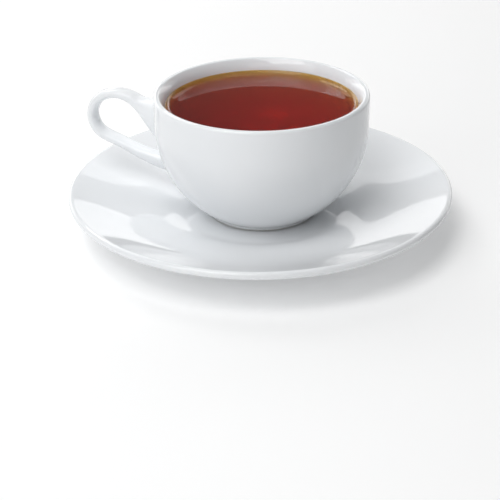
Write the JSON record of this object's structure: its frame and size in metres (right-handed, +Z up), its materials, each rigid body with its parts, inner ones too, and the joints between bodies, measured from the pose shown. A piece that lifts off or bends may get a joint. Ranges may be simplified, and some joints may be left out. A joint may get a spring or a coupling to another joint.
{
  "type": "cup of tea",
  "caption": "White porcelain teacup with an ear-shaped strap handle, filled with black tea and standing on its saucer.",
  "frame": {"origin": "centre of the saucer's base, on the surface that it stands on", "axes": "+Z up along the saucer's axis, -X towards the cup's handle; the cup stands 1.1 mm off the saucer's axis, towards +X"},
  "size_m": [0.164, 0.164, 0.0603],
  "materials": {
    "cup_porcelain": "glossy white glaze",
    "saucer_porcelain": "glossy white glaze",
    "tea": "clear red-brown liquid with a still, glossy surface"
  },
  "bodies": {
    "root": {"cup": "cup_porcelain", "saucer": "saucer_porcelain", "tea": "tea"}
  },
  "joints": []
}
